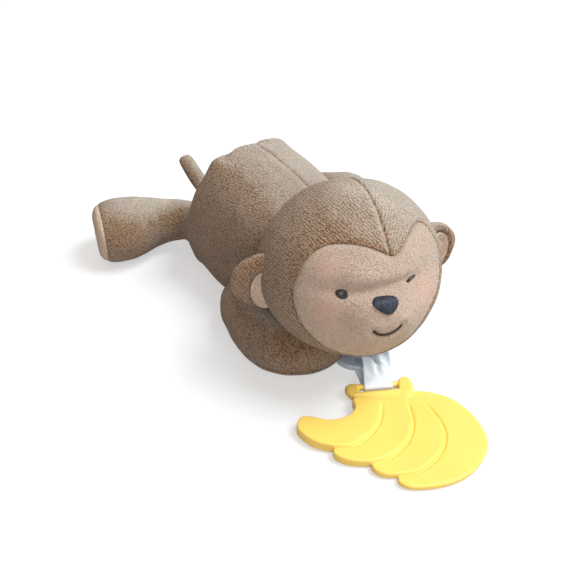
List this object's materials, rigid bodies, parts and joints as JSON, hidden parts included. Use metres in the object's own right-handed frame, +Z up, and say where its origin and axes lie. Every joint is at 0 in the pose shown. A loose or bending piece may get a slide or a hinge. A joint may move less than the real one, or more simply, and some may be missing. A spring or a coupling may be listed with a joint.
{
  "type": "musical plush monkey",
  "caption": "Stuffed monkey lying on its belly, with a pull-cord musical movement inside and a banana-shaped teether on a satin ribbon that draws the cord out.",
  "frame": {"origin": "on the floor under the middle of the torso, on the flat of the belly", "axes": "+Z up; +Y towards the tail, so the monkey faces -Y; +X to the monkey's left"},
  "size_m": [0.146, 0.2428, 0.0865],
  "materials": {
    "plush": "short brown velour pile",
    "face_plush": "sheared peach fleece",
    "thread": "satin-stitched dark thread",
    "fibre": "loose white filling",
    "satin": "white satin",
    "cordage": "braided white cord",
    "yellow_plastic": "soft satin-moulded",
    "white_plastic": "moulded",
    "steel": "bright",
    "brass": "turned and pressed"
  },
  "bodies": {
    "torso": {"torso_cover": "plush", "torso_stuffing": "fibre", "chest_eyelet": "white_plastic", "case_lower": "white_plastic", "case_upper": "white_plastic", "case_screw_1": "steel", "case_screw_2": "steel", "case_screw_3": "steel", "case_screw_4": "steel", "cord_bush": "steel", "left_plate": "brass", "right_plate": "brass", "drum_pin": "steel", "mainspring": "steel", "comb": "steel", "comb_block": "steel", "comb_screw_left": "steel", "comb_screw_right": "steel"},
    "head": {"head_cover": "plush", "face_panel": "face_plush", "head_stuffing": "fibre", "right_eye": "thread", "left_eye": "thread", "nose": "thread", "mouth": "thread", "right_ear": "plush", "left_ear": "plush", "right_ear_lining": "face_plush", "left_ear_lining": "face_plush"},
    "right_arm": {"right_arm": "plush"},
    "left_arm": {"left_arm": "plush"},
    "right_leg": {"right_leg": "plush", "right_sole": "face_plush"},
    "left_leg": {"left_leg": "plush", "left_sole": "face_plush"},
    "tail": {"tail": "plush"},
    "pull": {"pull_cord": "cordage", "ribbon": "satin"},
    "teether": {"banana_teether": "yellow_plastic"},
    "drum": {"cord_drum": "white_plastic", "cord_winding": "cordage"},
    "cylinder": {"cylinder_arbor": "steel", "cylinder_pinion": "brass", "cylinder_wheel": "brass", "music_cylinder": "brass"},
    "governor": {"governor_arbor": "brass", "governor_fan": "white_plastic"}
  },
  "joints": [
    {"name": "neck_turn", "type": "hinge", "parent": "torso", "child": "head", "pos_m": [-0.01, -0.05, 0.0485], "axis": [0, 0, 1], "range_deg": [-20, 40]},
    {"name": "right_shoulder", "type": "hinge", "parent": "torso", "child": "right_arm", "pos_m": [-0.033, -0.002, 0.015], "axis": [0, 0, 1], "range_deg": [-40, 0]},
    {"name": "left_shoulder", "type": "hinge", "parent": "torso", "child": "left_arm", "pos_m": [0.033, -0.002, 0.015], "axis": [0, 0, 1], "range_deg": [0, 40]},
    {"name": "right_hip", "type": "hinge", "parent": "torso", "child": "right_leg", "pos_m": [-0.017, 0.048, 0.016], "axis": [0, 0, 1], "range_deg": [-15, 25]},
    {"name": "left_hip", "type": "hinge", "parent": "torso", "child": "left_leg", "pos_m": [0.017, 0.048, 0.016], "axis": [0, 0, 1], "range_deg": [0, 70]},
    {"name": "tail_wag", "type": "hinge", "parent": "torso", "child": "tail", "pos_m": [0, 0.048, 0.016], "axis": [0, 0, 1], "range_deg": [-22, 22]},
    {"name": "cord_pull", "type": "slide", "parent": "torso", "child": "pull", "axis": [-0.5446, -0.8387, 0], "range_m": [0, 0.15], "stiffness_N_per_m": 8, "springref_m": -0.08, "deforming": ["pull_cord"]},
    {"name": "teether_swing", "type": "hinge", "parent": "pull", "child": "teether", "pos_m": [-0.01832, -0.08011, 0.0027], "axis": [-0.8387, 0.5446, 0], "range_deg": [0, 50]},
    {"name": "drum_spin", "type": "hinge", "parent": "torso", "child": "drum", "pos_m": [0, 0.00674, 0.0193], "axis": [-1, 0, 0], "range_deg": [0, 954]},
    {"name": "cylinder_spin", "type": "hinge", "parent": "torso", "child": "cylinder", "pos_m": [0, 0.01794, 0.0193], "axis": [-1, 0, 0], "range_deg": [-2862, 0]},
    {"name": "governor_spin", "type": "hinge", "parent": "torso", "child": "governor", "pos_m": [0, 0.02492, 0.02515], "axis": [-1, 0, 0], "range_deg": [0, 6439]}
  ],
  "couplings": [
    {"joint": "drum_spin", "follows": "cord_pull", "rad_per_m": 109.89},
    {"joint": "cylinder_spin", "follows": "cord_pull", "rad_per_m": -329.67},
    {"joint": "governor_spin", "follows": "cord_pull", "rad_per_m": 741.76}
  ]
}
